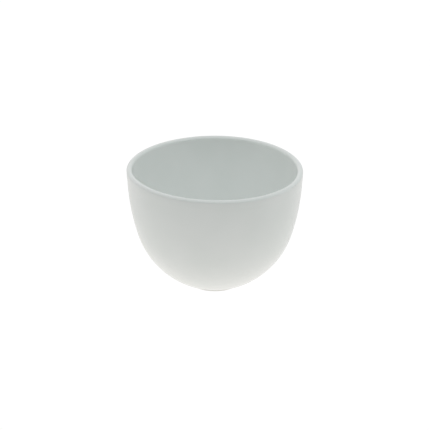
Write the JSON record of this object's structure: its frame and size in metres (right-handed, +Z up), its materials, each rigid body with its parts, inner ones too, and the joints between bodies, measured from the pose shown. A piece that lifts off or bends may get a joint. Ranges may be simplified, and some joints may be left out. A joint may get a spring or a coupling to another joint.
{
  "type": "porcelain crucible",
  "caption": "Small squat crucible: a thin-walled glazed bowl with a rounded rim bead and a bare flat foot, open at the top, for heating or ashing a sample.",
  "frame": {"origin": "centre of the foot, on the surface the crucible stands on", "axes": "+Z up along the crucible's own axis, out of its mouth; X and Y are arbitrary, because the crucible is round"},
  "size_m": [0.046, 0.046, 0.0326],
  "materials": {
    "bare_porcelain": "unglazed, fine ground, matt",
    "porcelain_glaze": "clear glaze over white porcelain, soft gloss"
  },
  "bodies": {
    "root": {"porcelain_body": "bare_porcelain", "glaze_coat": "porcelain_glaze"}
  },
  "joints": []
}
